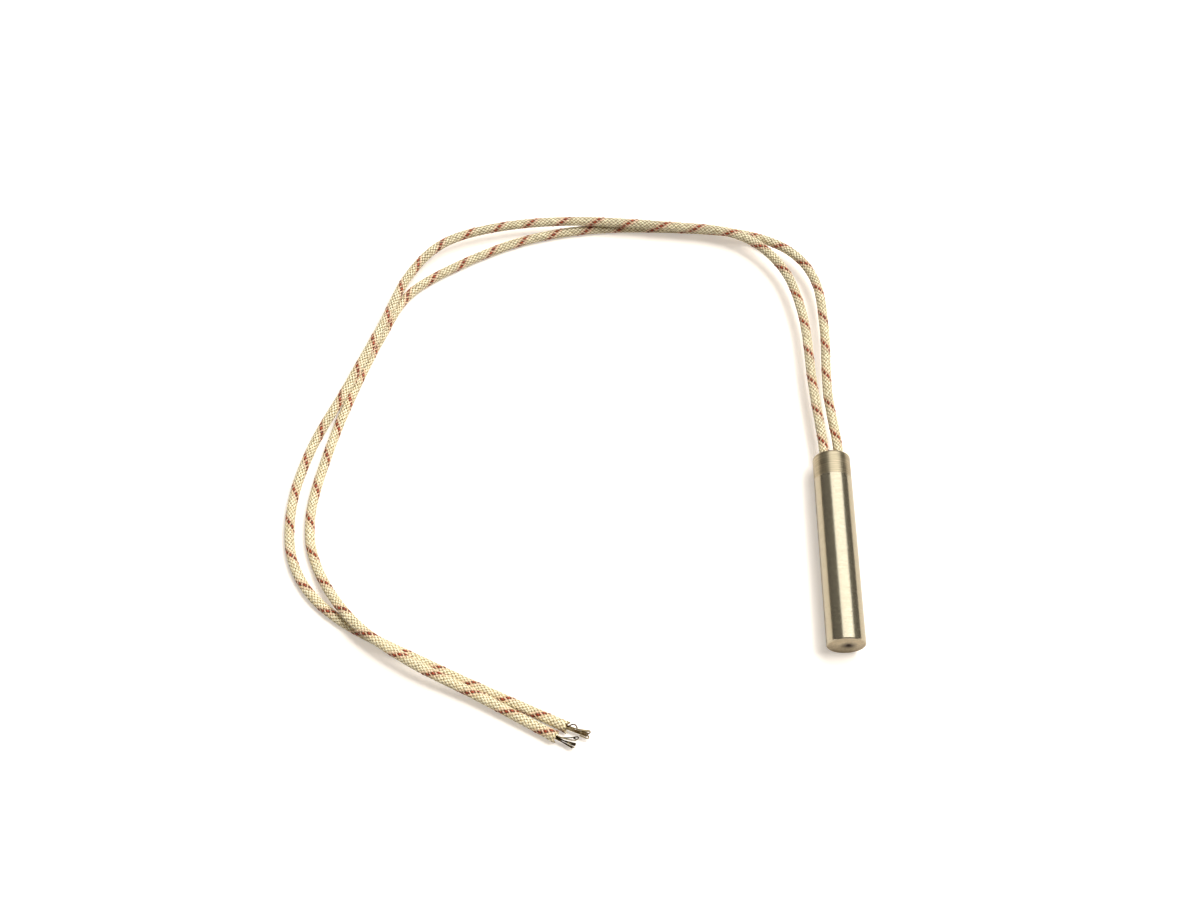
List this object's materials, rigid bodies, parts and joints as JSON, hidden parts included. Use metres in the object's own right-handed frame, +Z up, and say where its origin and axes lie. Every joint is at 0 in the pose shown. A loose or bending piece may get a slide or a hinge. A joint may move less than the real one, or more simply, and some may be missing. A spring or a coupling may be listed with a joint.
{
  "type": "cartridge heater",
  "caption": "Slim round electric cartridge heater with a ground steel sheath, a closed end and a pair of braided flexible leads with bare stranded ends.",
  "frame": {"origin": "on the surface that the heater lies on, under the middle of the sheath", "axes": "+Y along the heater's axis towards the leads, +Z up, +X to the right seen from the closed end"},
  "size_m": [0.1414, 0.1518, 0.0094],
  "materials": {
    "ground_steel": "centreless ground",
    "weld_steel": "matte, faced after welding",
    "oxide": "matte",
    "resistance_alloy": "drawn wire",
    "nickel": "drawn wire",
    "cement": "matte",
    "glass_braid": "braided glass fibre with a red tracer"
  },
  "bodies": {
    "root": {"sheath": "ground_steel", "end_disc": "weld_steel", "bottom_spacer": "oxide", "core": "oxide", "heating_coil": "resistance_alloy", "long_pin": "nickel", "short_pin": "nickel", "fill": "oxide", "top_spacer": "oxide", "lead_bushing": "oxide", "left_splice": "nickel", "right_splice": "nickel", "left_conductor": "nickel", "right_conductor": "nickel", "end_seal": "cement", "left_lead": "glass_braid", "right_lead": "glass_braid", "left_strands": "nickel", "right_strands": "nickel"}
  },
  "joints": []
}
